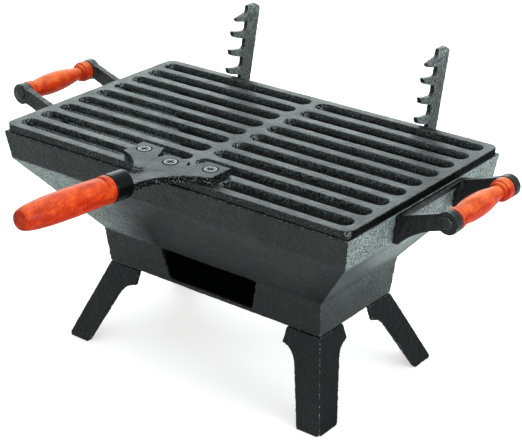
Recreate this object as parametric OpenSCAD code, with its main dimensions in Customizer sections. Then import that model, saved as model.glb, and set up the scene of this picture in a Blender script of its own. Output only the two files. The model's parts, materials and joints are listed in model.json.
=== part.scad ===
// Tabletop hibachi grill, cast iron with turned wooden grips.
// Units are millimetres, +Z is up, +X runs along the long side and -Y is the front.
// The origin is on the ground, at the centre of the whole grill's bounding box.
// The shapes are drawn about the fire box's centre, and in_frame() moves them to that origin.
// A stepped fire box stands on four splayed angle legs. A slotted cooking grate lies on its rim,
// with a bolted handle in front. Two toothed racks stand behind it for hooking the grate higher up.

/* [Fire box] */
// Half length of the rim, outside
box_rim_x = 215.6; // [180:0.1:260]
// Half width of the rim, outside
box_rim_y = 131.6; // [110:0.1:160]
// Height of the rim above the ground
box_rim_z = 234.5; // [200:0.5:300]
// Half length at the shoulder under the rim band
box_shoulder_x = 210.7; // [180:0.1:250]
// Half width at the shoulder under the rim band
box_shoulder_y = 127.6; // [100:0.1:150]
// Height of the shoulder
box_shoulder_z = 203.7; // [170:0.1:230]
// Half length at the waist
box_waist_x = 142; // [100:0.5:180]
// Half width at the waist
box_waist_y = 66.7; // [50:0.1:90]
// Height of the waist
box_waist_z = 122.4; // [100:0.1:150]
// Half length of the underside
box_base_x = 138.5; // [100:0.5:170]
// Half width of the underside
box_base_y = 62; // [45:0.5:85]
// Height of the underside
box_base_z = 82.5; // [60:0.5:110]
// Wall thickness, measured level
box_wall = 5; // [3:0.1:8]
// Floor thickness
box_floor = 5; // [3:0.1:8]
// Half width of the draught opening at its top
vent_top_x = 62; // [40:0.5:80]
// Half width of the draught opening at its bottom
vent_base_x = 53.5; // [30:0.5:75]
// Height of the top of the draught opening
vent_top_z = 121; // [110:0.5:122]

/* [Charcoal grate] */
// Length of the charcoal grate
coal_length = 272; // [240:1:276]
// Width of the charcoal grate
coal_width = 120; // [100:1:124]
// Thickness of the charcoal grate
coal_thick = 6; // [4:0.5:8]
// Height of the lugs it lies on
coal_seat_z = 126; // [124:0.5:130]
// Width of one slot in the charcoal grate
coal_slot = 10; // [6:0.5:12]
// Rows of slots in the charcoal grate
coal_rows = 5; // [3:1:6]
// Distance between those rows
coal_pitch = 21; // [18:0.5:24]

/* [Cooking grate] */
// Length of the cooking grate
grate_length = 430; // [380:1:500]
// Width of the cooking grate
grate_width = 260; // [220:1:300]
// Thickness of the cooking grate
grate_thick = 8; // [6:0.5:12]
// Corner radius of the cooking grate
grate_corner = 11; // [5:0.5:25]
// Width of one slot
slot_width = 16.8; // [12:0.1:20]
// Distance between rows of slots
slot_pitch = 27.8; // [22:0.1:32]
// Rows of slots
slot_rows = 9; // [5:1:10]
// Half width of the bar down the middle
slot_inner_x = 5; // [4:0.5:10]
// Outer end of the slots, from the centre line
slot_outer_x = 205; // [180:0.5:206]
// Inner end of the short slots beside the handle
slot_front_x = 57.5; // [50:0.5:80]

/* [Handle plate] */
// Thickness of the handle plate
plate_thick = 8; // [5:0.5:12]
// Half width over the wings
plate_wing_x = 55.5; // [45:0.5:57]
// Back edge of the wings
plate_back_y = 94.5; // [92:0.5:100]
// Inner corner of a wing
plate_notch_x = 27.5; // [22:0.5:33]
// Half width of the middle tongue at the bottom of the notch
plate_root_x = 18; // [15:0.5:21]
// Depth line of the two notches
plate_root_y = 116; // [110:0.5:120]
// Half width of the middle tongue at its end
plate_tongue_x = 14; // [8:0.5:15]
// End of the middle tongue
plate_tongue_y = 104.5; // [100:0.5:108]
// Radius of the two hollow front edges
plate_sweep_r = 64; // [62:0.5:66]
// Centre of that radius, sideways
plate_sweep_x = 72.5; // [71:0.5:75]
// Centre of that radius, forwards
plate_sweep_y = 186; // [184:0.5:190]
// How far the neck of the plate reaches into the ferrule
neck_depth = 7.5; // [4:0.5:9]
// Distance of the two wing screws from the centre line
wing_screw_x = 41.5; // [36:0.5:46]
// Position of the wing screws, forwards
wing_screw_y = 108.5; // [104:0.5:112]
// Position of the middle screw, forwards
mid_screw_y = 118; // [116:0.5:122]

/* [Front handle] */
// Upward tilt of the front handle in degrees
handle_tilt = 4; // [0:0.1:6]
// Back rim of the ferrule, forwards
ferrule_y = 182.5; // [180:0.5:186]
// Height of the handle axis at that rim
ferrule_z = 249.8; // [249:0.1:250.5]
// Diameter of the ferrule
ferrule_d = 28; // [27:0.5:34]
// Length of the ferrule
ferrule_length = 22; // [18:0.5:40]
// Diameter of the tang
tang_d = 7; // [5:0.5:8]
// Length of the tang from the ferrule rim
tang_length = 95; // [60:1:115]
// Length of the front grip
front_grip_length = 108.5; // [100:0.5:150]
// Largest diameter of the front grip
front_grip_d = 28; // [24:0.5:34]
// Distance of the thickest place of the front grip from its collar end
front_grip_peak = 52; // [40:1:60]
// Diameter of the front grip's flat end
front_grip_end_d = 16.5; // [10:0.1:20]
// Collar diameter of the front grip
front_collar_d = 27.4; // [24:0.1:32]

/* [Side handles] */
// Distance of the side grip axis from the centre
side_axis_x = 268; // [250:0.5:300]
// Height of the side grip axis
side_axis_z = 240; // [225:0.5:255]
// Outer face of a boss, from the centre
boss_outer_y = 56.5; // [50:0.5:70]
// Thickness of a boss
boss_thick = 10; // [8:0.5:15]
// Diameter of a boss
boss_d = 23; // [20:0.5:26]
// Thickness of an arm
arm_thick = 8; // [6:0.5:10]
// Radius of the hollow under an arm
arm_hollow_r = 88; // [70:1:110]
// Centre of that radius, sideways
arm_hollow_x = 283; // [270:1:300]
// Centre of that radius, height
arm_hollow_z = 145; // [140:1:148]
// Height of the lower edge of the bar between the arms
bar_low_z = 228.5; // [215:0.5:230]
// Outer face of the bar between the arms
bar_outer_x = 220.4; // [218:0.1:226]
// Diameter of the rod in a side grip
rod_d = 8; // [6:0.5:10]
// Running clearance of a grip on its rod, radial
rod_gap = 0.06; // [0.02:0.01:0.1]
// Diameter of the peened heads on a rod
rod_head_d = 12; // [10:0.5:16]
// Height of a peened head
rod_head_h = 2; // [1:0.5:4]
// End gap of a grip between the bosses
grip_end_gap = 0.3; // [0.1:0.1:1]
// Largest diameter of a side grip
side_grip_d = 23; // [18:0.5:28]

/* [Legs] */
// Sideways run of a leg corner from top to ground
leg_run_x = 29.5; // [10:0.5:50]
// Front to back run of a leg corner from top to ground
leg_run_y = 39; // [10:0.5:60]
// Thickness of a leg flange
leg_thick = 5; // [3:0.5:8]
// Inner edge of the front flange at the top
leg_front_in = 97; // [85:0.5:110]
// Inner edge of the end flange at the top
leg_end_in = 22; // [12:0.5:35]
// Radius of the hollow under the flange top
leg_hollow_r = 24; // [15:0.5:30]
// Height of that radius centre
leg_hollow_z = 43.5; // [38:0.5:50]
// Taper of the front flange's inner edge, in degrees
leg_front_taper = 22.5; // [15:0.5:25]
// Taper of the end flange's inner edge, in degrees
leg_end_taper = 28; // [20:0.5:30]
// Position of the leg bolt, sideways
leg_bolt_x = 118; // [112:0.5:124]
// Position of the leg bolt, front to back
leg_bolt_y = 43; // [38:0.5:47]

/* [Racks] */
// Distance of a rack from the centre
rack_x = 123; // [90:0.5:160]
// Thickness of a rack
rack_thick = 6; // [4:0.5:8]
// Height step between teeth
tooth_rise = 19.9; // [18:0.1:24]
// Backward step between teeth
tooth_back = 4.3; // [0:0.1:8]
// Width of the rack foot
foot_width = 36; // [30:1:50]
// Thickness of the rack foot
foot_thick = 6; // [4:0.5:8]
// Height of the rack bolts
rack_bolt_z = 219; // [214:0.5:224]
// Half distance between the two bolts of a rack
rack_bolt_x = 11; // [10:0.5:14]

/* [Fasteners] */
// Head diameter of the countersunk plate screws
csk_head_d = 13; // [11:0.5:15]
// Shank diameter of the countersunk plate screws
csk_shank_d = 6; // [5:0.5:8]
// Leg bolt diameter
leg_bolt_d = 8; // [6:1:10]
// Rack bolt diameter
rack_bolt_d = 6; // [5:1:8]
// Bracket screw diameter
arm_screw_d = 5; // [4:0.5:6]
// Radial clearance of fixed fasteners in their holes
bolt_gap = 0.2; // [0.1:0.05:0.5]

/* [Hidden] */
$fn = 64;
head_drop = 0.5;
over = 1;
far = 600;
fit_gap = 0.05;
seat_gap = 0.02;
grate_top_z = box_rim_z + grate_thick;
plate_top_z = grate_top_z + plate_thick;
slot_r = slot_width / 2;
slot_first_y = slot_pitch * (slot_rows - 1) / 2;
rim_run_x = (box_rim_x - box_shoulder_x) / (box_rim_z - box_shoulder_z);
rim_run_y = (box_rim_y - box_shoulder_y) / (box_rim_z - box_shoulder_z);
end_lean = atan(rim_run_x);
back_lean = atan(rim_run_y);
hopper_wall = box_wall + 0.5;
leg_slope_x = leg_run_x / box_base_z;
leg_slope_y = leg_run_y / box_base_z;
grip_length = 2 * (boss_outer_y - boss_thick - grip_end_gap);
hex_ratio = 2 / sqrt(3);
leg_nut_af = 13;
leg_nut_h = 6.5;
leg_head_h = 5.3;
rack_nut_af = 10;
rack_nut_h = 5;
rack_head_h = 4;
arm_head_af = 8;
arm_head_h = 3.5;
arm_screw_depth = 10;
arm_inset = 0.5;
arm_mid_y = boss_outer_y - arm_inset - arm_thick / 2;
boss_mid_y = boss_outer_y - boss_thick / 2;
arm_screw_low = 217;
arm_screw_high = 228.5;
rack_tip_y = 174.6;
plate_neck_y = ferrule_y + neck_depth;
handle_reach = ferrule_length + fit_gap + front_grip_length;
grip_tip_y = ferrule_y + handle_reach * cos(handle_tilt) + front_grip_end_d / 2 * sin(handle_tilt);
frame_y = (grip_tip_y - rack_tip_y) / 2;

// ---- frame ----

// Moves a shape drawn about the fire box's centre to the grill's own origin.
module in_frame() {
  translate([0, frame_y, 0])
    children();
}

// ---- shared shapes ----

// Upright prism with its outline in X and Z, centred on y = 0.
module prism_xz(points, depth) {
  translate([0, depth / 2, 0])
    rotate([90, 0, 0])
      linear_extrude(height = depth)
        polygon(points);
}

// Prism with its outline in Y and Z, centred on x = 0.
module prism_yz(points, depth) {
  translate([-depth / 2, 0, 0])
    rotate([90, 0, 90])
      linear_extrude(height = depth)
        polygon(points);
}

// Flat plate with four round corners.
module round_plate(length, width, thick, corner) {
  translate([-length / 2 + corner, -width / 2, 0])
    cube([length - 2 * corner, width, thick]);
  translate([-length / 2, -width / 2 + corner, 0])
    cube([length, width - 2 * corner, thick]);
  for (sx = [-1, 1]) {
    for (sy = [-1, 1]) {
      translate([sx * (length / 2 - corner), sy * (width / 2 - corner), 0])
        cylinder(r = corner, h = thick);
    }
  }
}

// Cutter for a slot with full round ends.
module slot_cut(x_in, x_out, y, width, z, thick) {
  translate([x_in + width / 2, y - width / 2, z - over])
    cube([x_out - x_in - width, width, thick + 2 * over]);
  translate([x_in + width / 2, y, z - over])
    cylinder(d = width, h = thick + 2 * over);
  translate([x_out - width / 2, y, z - over])
    cylinder(d = width, h = thick + 2 * over);
}

// Hexagonal prism by its size across flats.
module hexagon(across, height) {
  cylinder(d = across * hex_ratio, h = height, $fn = 6);
}

// Both sides of the centre line.
module mirrored_x() {
  children();
  mirror([1, 0, 0])
    children();
}

// ---- fire box ----

module box_body(step, slope_step, low) {
  rim_x = box_rim_x - step;
  rim_y = box_rim_y - step;
  shoulder_x = box_shoulder_x - step;
  shoulder_y = box_shoulder_y - step;
  waist_x = box_waist_x - slope_step;
  waist_y = box_waist_y - slope_step;
  base_x = box_base_x - step;
  base_y = box_base_y - step;
  lift = step > 0 ? over : 0;
  top_x = rim_x + lift * rim_run_x;
  top_y = rim_y + lift * rim_run_y;
  top = box_rim_z + lift;
  intersection() {
    prism_xz([[-base_x, low], [base_x, low], [waist_x, box_waist_z], [shoulder_x, box_shoulder_z],
      [top_x, top], [-top_x, top], [-shoulder_x, box_shoulder_z], [-waist_x, box_waist_z]], far);
    prism_yz([[-base_y, low], [base_y, low], [waist_y, box_waist_z], [shoulder_y, box_shoulder_z],
      [top_y, top], [-top_y, top], [-shoulder_y, box_shoulder_z], [-waist_y, box_waist_z]], far);
  }
}

// Seats for the charcoal grate in the four corners of the waist.
module coal_lugs() {
  lug_in_x = coal_length / 2 - 16;
  lug_in_y = coal_width / 2 - 10;
  lug_h = 8;
  for (sx = [0, 1]) {
    for (sy = [0, 1]) {
      mirror([sx, 0, 0])
        mirror([0, sy, 0])
          translate([lug_in_x, lug_in_y, coal_seat_z - lug_h])
            cube([box_waist_x - 3 - lug_in_x, box_waist_y - 3 - lug_in_y, lug_h]);
    }
  }
}

module vent_cut() {
  low = box_base_z + box_floor;
  translate([0, -box_waist_y, 0])
    prism_xz([[-vent_base_x, low], [vent_base_x, low], [vent_top_x, vent_top_z],
      [-vent_top_x, vent_top_z]], 4 * box_wall);
}

// Places children on a leg bolt axis, at the underside of the box.
module at_leg_bolt(sx, sy) {
  translate([sx * leg_bolt_x, sy * leg_bolt_y, box_base_z])
    children();
}

// Places children on a rack bolt axis, at the outer face of the back wall, with +Z outwards.
module at_rack_bolts() {
  wall_y = box_shoulder_y + (rack_bolt_z - box_shoulder_z) * rim_run_y;
  for (sx = [-1, 1]) {
    for (dx = [-1, 1]) {
      translate([sx * rack_x + dx * rack_bolt_x, wall_y, rack_bolt_z])
        rotate([-90 - back_lean, 0, 0])
          children();
    }
  }
}

// Places children on the right bracket screws, at the outer face of the end wall, +Z outwards.
module at_arm_screws() {
  for (z = [arm_screw_low, arm_screw_high]) {
    for (sy = [-1, 1]) {
      translate([end_wall_x(z), sy * arm_mid_y, z])
        rotate([0, 90 + end_lean, 0])
          children();
    }
  }
}

module firebox() {
  color([0.2, 0.22, 0.21])
    in_frame()
      difference() {
        union() {
          difference() {
            box_body(0, 0, box_base_z);
            box_body(box_wall, hopper_wall, box_base_z + box_floor);
            vent_cut();
          }
          coal_lugs();
        }
        for (sx = [-1, 1]) {
          for (sy = [-1, 1]) {
            at_leg_bolt(sx, sy)
              translate([0, 0, -over])
                cylinder(d = leg_bolt_d + 2 * bolt_gap, h = box_floor + 2 * over);
          }
        }
        at_rack_bolts()
          translate([0, 0, -2 * box_wall])
            cylinder(d = rack_bolt_d + 2 * bolt_gap, h = 3 * box_wall);
        mirrored_x()
          at_arm_screws()
            translate([0, 0, -2 * box_wall])
              cylinder(d = arm_screw_d + 2 * bolt_gap, h = 3 * box_wall);
      }
}

// ---- charcoal grate ----

module charcoal_grate() {
  slot_in = 8;
  slot_out = coal_length / 2 - 10;
  first_y = coal_pitch * (coal_rows - 1) / 2;
  color([0.16, 0.16, 0.16])
    in_frame()
      difference() {
        translate([0, 0, coal_seat_z])
          round_plate(coal_length, coal_width, coal_thick, 6);
        for (i = [0 : coal_rows - 1]) {
          mirrored_x()
            slot_cut(slot_in, slot_out, first_y - i * coal_pitch, coal_slot, coal_seat_z, coal_thick);
        }
      }
}

// ---- cooking grate and its handle ----

module at_plate_screws() {
  for (sx = [-1, 1]) {
    translate([sx * wing_screw_x, -wing_screw_y, 0])
      children();
  }
  translate([0, -mid_screw_y, 0])
    children();
}

module cooking_grate() {
  color([0.17, 0.18, 0.18])
    in_frame()
      difference() {
        translate([0, 0, box_rim_z])
          round_plate(grate_length, grate_width, grate_thick, grate_corner);
        for (i = [0 : slot_rows - 1]) {
          x_in = i == slot_rows - 1 ? slot_front_x : slot_inner_x;
          mirrored_x()
            slot_cut(x_in, slot_outer_x, slot_first_y - i * slot_pitch, slot_width,
              box_rim_z, grate_thick);
        }
        at_plate_screws()
          translate([0, 0, box_rim_z - over])
            cylinder(d = csk_shank_d + 2 * fit_gap, h = grate_thick + 2 * over);
      }
}

// Places children on the front handle axis, with +Z along the handle.
module on_handle() {
  translate([0, -ferrule_y, ferrule_z])
    rotate([90 - handle_tilt, 0, 0])
      children();
}

module handle_plate() {
  sink_h = (csk_head_d - csk_shank_d) / 2;
  rim_gap = 0.5;
  rim_h = 0.8;
  tang_from = 4;
  color([0.15, 0.15, 0.15])
    in_frame()
      union() {
        difference() {
          translate([0, 0, grate_top_z])
            linear_extrude(height = plate_thick)
              polygon([
                [plate_tongue_x, -plate_tongue_y],
                [plate_root_x, -plate_root_y],
                [plate_notch_x, -plate_back_y],
                [plate_wing_x, -plate_back_y],
                [plate_wing_x, -plate_neck_y],
                [-plate_wing_x, -plate_neck_y],
                [-plate_wing_x, -plate_back_y],
                [-plate_notch_x, -plate_back_y],
                [-plate_root_x, -plate_root_y],
                [-plate_tongue_x, -plate_tongue_y]
              ]);
          for (sx = [-1, 1]) {
            translate([sx * plate_sweep_x, -plate_sweep_y, grate_top_z - over])
              cylinder(r = plate_sweep_r, h = plate_thick + 2 * over, $fn = 128);
          }
          at_plate_screws()
            translate([0, 0, grate_top_z - over])
              cylinder(d = csk_shank_d + 2 * fit_gap, h = plate_thick + 2 * over);
          at_plate_screws()
            translate([0, 0, plate_top_z - sink_h - head_drop])
              cylinder(d1 = csk_shank_d + 2 * fit_gap, d2 = csk_head_d + 2 * fit_gap, h = sink_h);
          at_plate_screws()
            translate([0, 0, plate_top_z - rim_h])
              cylinder(d = csk_head_d + 2 * rim_gap, h = over);
        }
        on_handle()
          translate([0, 0, tang_from])
            cylinder(d = tang_d, h = tang_length - tang_from);
      }
}

module handle_plate_screws() {
  sink_h = (csk_head_d - csk_shank_d) / 2;
  land = 0.4;
  recess = 7.5;
  recess_w = 1.6;
  recess_h = 1.8;
  length = plate_thick + grate_thick - 1;
  color([0.55, 0.56, 0.57])
    in_frame()
      at_plate_screws()
        translate([0, 0, plate_top_z - land])
          difference() {
            union() {
              cylinder(d = csk_head_d, h = land);
              translate([0, 0, -sink_h])
                cylinder(d1 = csk_shank_d, d2 = csk_head_d, h = sink_h);
              translate([0, 0, land - length])
                cylinder(d = csk_shank_d, h = length - sink_h - land);
            }
            translate([-recess / 2, -recess_w / 2, land - recess_h])
              cube([recess, recess_w, recess_h + over]);
            translate([-recess_w / 2, -recess / 2, land - recess_h])
              cube([recess_w, recess, recess_h + over]);
          }
}

module handle_ferrule() {
  pocket_x = 9.2;
  pocket_y = plate_neck_y + 0.8;
  pocket_gap = 0.2;
  edge = 1.5;
  color([0.08, 0.08, 0.08])
    in_frame()
      difference() {
        on_handle()
          rotate_extrude($fn = 96)
            polygon([[0, 0], [ferrule_d / 2 - edge, 0], [ferrule_d / 2, edge],
              [ferrule_d / 2, ferrule_length], [0, ferrule_length]]);
        on_handle()
          translate([0, 0, -over])
            cylinder(d = tang_d + 0.4, h = ferrule_length + 2 * over);
        translate([-pocket_x, -pocket_y, grate_top_z - pocket_gap])
          cube([2 * pocket_x, pocket_y - ferrule_y + 2 * over, plate_thick + 2 * pocket_gap]);
      }
}

// Radius of the front grip's barrel at a distance s from its collar end.
function front_barrel(s) =
  let (peak = front_grip_peak, tail = front_grip_length - peak)
  let (big = front_grip_d / 2, small = front_grip_end_d / 2)
  s < peak
    ? big - pow((peak - s) / peak, 2)
    : small + (big - small) * sqrt(max(0, 1 - pow((s - peak) / tail, 2.4)));

module front_grip() {
  steps = 32;
  collar = 7.5;
  groove = 1.2;
  barrel_at = 10.5;
  r = front_collar_d / 2;
  bore_end = tang_length + 2 - ferrule_length;
  color([0.85, 0.25, 0.08])
    in_frame()
      on_handle()
        translate([0, 0, ferrule_length + fit_gap])
          difference() {
            rotate_extrude($fn = 96)
              polygon(concat(
                [[0, 0], [r - 1, 0], [r, 1.2], [r, collar - 1], [r - 0.5, collar]],
                [[r - groove, collar + 0.8], [r - groove, collar + 1.8]],
                [for (i = [0 : steps])
                  let (s = barrel_at + (front_grip_length - barrel_at) * i / steps)
                  [front_barrel(s), s]],
                [[0, front_grip_length]]));
            translate([0, 0, -over])
              cylinder(d = tang_d + 0.2, h = bore_end + over);
          }
}

// ---- side handles ----

// X of the outer face of the end wall at a height.
function end_wall_x(z) = box_shoulder_x + (z - box_shoulder_z) * rim_run_x;

module bracket() {
  low_z = box_shoulder_z + 0.3;
  low_x = end_wall_x(low_z) + seat_gap;
  top_z = box_rim_z - 0.2;
  top_x = end_wall_x(top_z) + seat_gap;
  bar_x = end_wall_x(bar_low_z) + seat_gap;
  bar_bite = 0.8;
  difference() {
    union() {
      for (sy = [-1, 1]) {
        translate([0, sy * arm_mid_y, 0])
          difference() {
            prism_xz([[low_x, low_z], [side_axis_x + 1, low_z], [side_axis_x + 1, side_axis_z + 8],
              [side_axis_x - 4, side_axis_z + 9.2], [side_axis_x - 15.6, side_axis_z + 5.2],
              [top_x + 9, top_z + 1.8], [top_x, top_z]], arm_thick);
            translate([arm_hollow_x, arm_thick, arm_hollow_z])
              rotate([90, 0, 0])
                cylinder(r = arm_hollow_r, h = 2 * arm_thick, $fn = 128);
          }
        translate([side_axis_x, sy * boss_mid_y + boss_thick / 2, side_axis_z])
          rotate([90, 0, 0])
            cylinder(d = boss_d, h = boss_thick);
      }
      prism_xz([[bar_x, bar_low_z], [bar_outer_x, bar_low_z], [bar_outer_x, top_z],
        [top_x, top_z]], 2 * (arm_mid_y - arm_thick / 2 + bar_bite));
    }
    translate([side_axis_x, far / 2, side_axis_z])
      rotate([90, 0, 0])
        cylinder(d = rod_d + 2 * fit_gap, h = far);
    at_arm_screws()
      translate([0, 0, -over])
        cylinder(d = arm_screw_d + 2 * fit_gap, h = arm_screw_depth + 0.5 + over);
  }
}

module bracket_screws() {
  seat = -box_wall * cos(end_lean);
  at_arm_screws() {
    translate([0, 0, seat])
      cylinder(d = arm_screw_d, h = arm_screw_depth - seat);
    translate([0, 0, seat - arm_head_h])
      hexagon(arm_head_af, arm_head_h);
  }
}

// Rod with a low peened head outside each boss.
module grip_rod() {
  half = boss_outer_y;
  head_r = rod_head_d / 2;
  translate([side_axis_x, 0, side_axis_z])
    rotate([90, 0, 0])
      rotate_extrude($fn = 64)
        polygon([
          [0, -half - rod_head_h],
          [head_r - 2.4, -half - rod_head_h],
          [head_r - 0.6, -half - rod_head_h * 0.6],
          [head_r, -half],
          [rod_d / 2, -half],
          [rod_d / 2, half],
          [head_r, half],
          [head_r - 0.6, half + rod_head_h * 0.6],
          [head_r - 2.4, half + rod_head_h],
          [0, half + rod_head_h]
        ]);
}

// Radius of a side grip's barrel, u from 0 at the front neck to 1 at the back neck.
function side_barrel(u) = 8.6 * (1 - u) + 6.9 * u + (side_grip_d / 2 - 7.75) * pow(sin(180 * u), 1.3);

// Turned grip with a collar at each end; the back neck is the thinner one.
module side_grip() {
  steps = 28;
  r = side_grip_d / 2 - 0.3;
  neck = 8.5;
  back = grip_length - 14.5;
  translate([side_axis_x, grip_length / -2, side_axis_z])
    rotate([-90, 0, 0])
      difference() {
        rotate_extrude($fn = 96)
          polygon(concat(
            [[0, 0], [r - 1, 0], [r, 1], [r, 5], [r - 0.8, 6]],
            [for (i = [0 : steps])
              let (u = i / steps)
              [side_barrel(u), neck + (back - neck) * u]],
            [[9.4, back + 1], [9.8, back + 2.2], [9.2, back + 3.4], [10.4, back + 4.2]],
            [[r, back + 5.2], [r, grip_length - 1], [r - 1, grip_length], [0, grip_length]]));
        translate([0, 0, -over])
          cylinder(d = rod_d + 2 * rod_gap, h = grip_length + 2 * over);
      }
}

module right_bracket() {
  color([0.07, 0.07, 0.07])
    in_frame()
      bracket();
}

module left_bracket() {
  color([0.07, 0.07, 0.07])
    in_frame()
      rotate([0, 0, 180])
        bracket();
}

module right_bracket_screws() {
  color([0.3, 0.3, 0.3])
    in_frame()
      bracket_screws();
}

module left_bracket_screws() {
  color([0.3, 0.3, 0.3])
    in_frame()
      rotate([0, 0, 180])
        bracket_screws();
}

module right_rod() {
  color([0.12, 0.12, 0.12])
    in_frame()
      grip_rod();
}

module left_rod() {
  color([0.12, 0.12, 0.12])
    in_frame()
      rotate([0, 0, 180])
        grip_rod();
}

module right_grip() {
  color([0.85, 0.25, 0.08])
    in_frame()
      side_grip();
}

module left_grip() {
  color([0.85, 0.25, 0.08])
    in_frame()
      mirror([1, 0, 0])
        side_grip();
}

// ---- legs ----

// Outline of one leg flange; across is measured from the centre of the box.
module flange_outline(base, slope, inner, taper, depth, in_xz) {
  hollow_c = inner - 2.5;
  join_a = hollow_c + leg_hollow_r * cos(taper);
  join_z = leg_hollow_z + leg_hollow_r * sin(taper);
  foot_a = join_a + join_z * tan(taper);
  round_off = 3;
  outer = base + slope * box_base_z;
  points = [[inner, box_base_z], [base, box_base_z], [outer - slope * round_off, round_off],
    [outer - round_off, 0], [foot_a + 1, 0], [foot_a - 0.4, 1], [join_a, join_z],
    [join_a, leg_hollow_z], [inner, leg_hollow_z]];
  difference() {
    if (in_xz) {
      prism_xz(points, depth);
    } else {
      prism_yz(points, depth);
    }
    if (in_xz) {
      translate([hollow_c, far / 2, leg_hollow_z])
        rotate([90, 0, 0])
          cylinder(r = leg_hollow_r, h = far);
    } else {
      translate([-far / 2, hollow_c, leg_hollow_z])
        rotate([0, 90, 0])
          cylinder(r = leg_hollow_r, h = far);
    }
  }
}

// One angle leg for the corner at +X and +Y.
module leg() {
  t_x = leg_thick / cos(atan(leg_slope_x));
  t_y = leg_thick / cos(atan(leg_slope_y));
  pad_x = 100;
  pad_y = 25;
  difference() {
    union() {
      intersection() {
        flange_outline(box_base_x, leg_slope_x, leg_front_in, leg_front_taper, far, true);
        prism_yz([[box_base_y, box_base_z], [box_base_y + leg_run_y, 0],
          [box_base_y + leg_run_y - t_y, 0], [box_base_y - t_y, box_base_z]], far);
      }
      intersection() {
        flange_outline(box_base_y, leg_slope_y, leg_end_in, leg_end_taper, far, false);
        prism_xz([[box_base_x, box_base_z], [box_base_x + leg_run_x, 0],
          [box_base_x + leg_run_x - t_x, 0], [box_base_x - t_x, box_base_z]], far);
      }
      translate([pad_x, pad_y, box_base_z - leg_thick])
        cube([box_base_x - pad_x - 1, box_base_y - pad_y - 1, leg_thick]);
    }
    translate([leg_bolt_x, leg_bolt_y, box_base_z - leg_thick - over])
      cylinder(d = leg_bolt_d + 2 * bolt_gap, h = leg_thick + 2 * over);
  }
}

module leg_back_right() {
  color([0.06, 0.06, 0.06])
    in_frame()
      leg();
}

module leg_back_left() {
  color([0.06, 0.06, 0.06])
    in_frame()
      mirror([1, 0, 0])
        leg();
}

module leg_front_right() {
  color([0.06, 0.06, 0.06])
    in_frame()
      mirror([0, 1, 0])
        leg();
}

module leg_front_left() {
  color([0.06, 0.06, 0.06])
    in_frame()
      mirror([1, 0, 0])
        mirror([0, 1, 0])
          leg();
}

module leg_bolts() {
  shank = box_floor + leg_thick + leg_nut_h + 1.5;
  color([0.4, 0.4, 0.4])
    in_frame()
      for (sx = [-1, 1]) {
        for (sy = [-1, 1]) {
          at_leg_bolt(sx, sy) {
            translate([0, 0, box_floor])
              hexagon(leg_nut_af, leg_head_h);
            translate([0, 0, box_floor - shank])
              cylinder(d = leg_bolt_d, h = shank);
          }
        }
      }
}

module leg_nuts() {
  color([0.4, 0.4, 0.4])
    in_frame()
      for (sx = [-1, 1]) {
        for (sy = [-1, 1]) {
          at_leg_bolt(sx, sy)
            translate([0, 0, -leg_thick - leg_nut_h])
              difference() {
                hexagon(leg_nut_af, leg_nut_h);
                translate([0, 0, -over])
                  cylinder(d = leg_bolt_d + 2 * fit_gap, h = leg_nut_h + 2 * over);
              }
        }
      }
}

// ---- racks ----

// Y of the outer face of the back wall at a height.
function wall_y(z) = box_shoulder_y + (z - box_shoulder_z) * rim_run_y;

// One tooth outline; i counts up from the lowest tooth.
function tooth(i) =
  let (dy = i * tooth_back, dz = i * tooth_rise)
  [[138.8 + dy, 240.8 + dz], [129 + dy, 243.6 + dz], [120.4 + dy, 246.8 + dz], [118.2 + dy, 249 + dz],
    [117 + dy, 253.6 + dz], [118.4 + dy, 254.6 + dz], [130 + dy, 251.8 + dz], [139.4 + dy, 251 + dz],
    [141.4 + dy, 252.6 + dz]];

module rack() {
  foot_low = 206;
  foot_high = 232;
  back_step = foot_thick / cos(back_lean);
  low_y = wall_y(foot_low) + seat_gap;
  high_y = wall_y(foot_high) + seat_gap;
  skin = back_step - seat_gap;
  beak = [[151.4, 300.4], [147, 300], [134, 303], [132, 305.4], [132.4, 307.6], [150.4, 310.4],
    [152, 313], [152.6, 317.9]];
  difference() {
    union() {
      prism_yz(concat(
          [[low_y + 1, foot_low], [low_y + back_step + 4, foot_low]],
          [[150.5, 218], [156.7, 230.6], [rack_tip_y, 310.6], [rack_tip_y - 1, 313.4], [166.5, 317.9]],
          [for (i = [7 : -1 : 0]) beak[i]],
          [for (k = [2 : -1 : 0])
            for (j = [8 : -1 : 0]) tooth(k)[j]],
          [[138.2, foot_high + 1], [high_y + 1, foot_high]]), rack_thick);
      prism_yz([[low_y, foot_low], [low_y + skin, foot_low],
        [high_y + skin, foot_high], [high_y, foot_high]], foot_width);
    }
    translate([-rack_x, 0, 0])
      at_rack_bolts()
        translate([0, 0, -over])
          cylinder(d = rack_bolt_d + 2 * bolt_gap, h = foot_thick + 3 * over);
  }
}

module rack_right() {
  color([0.07, 0.07, 0.07])
    in_frame()
      translate([rack_x, 0, 0])
        rack();
}

module rack_left() {
  color([0.07, 0.07, 0.07])
    in_frame()
      translate([-rack_x, 0, 0])
        rack();
}

module rack_bolts() {
  seat = -box_wall * cos(back_lean);
  tail = rack_nut_h + 1.5;
  color([0.4, 0.4, 0.4])
    in_frame()
      at_rack_bolts() {
        translate([0, 0, foot_thick])
          hexagon(rack_nut_af, rack_head_h);
        translate([0, 0, seat - tail])
          cylinder(d = rack_bolt_d, h = foot_thick - seat + tail);
      }
}

module rack_nuts() {
  seat = -box_wall * cos(back_lean);
  color([0.4, 0.4, 0.4])
    in_frame()
      at_rack_bolts()
        translate([0, 0, seat - rack_nut_h])
          difference() {
            hexagon(rack_nut_af, rack_nut_h);
            translate([0, 0, -over])
              cylinder(d = rack_bolt_d + 2 * fit_gap, h = rack_nut_h + 2 * over);
          }
}

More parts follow.
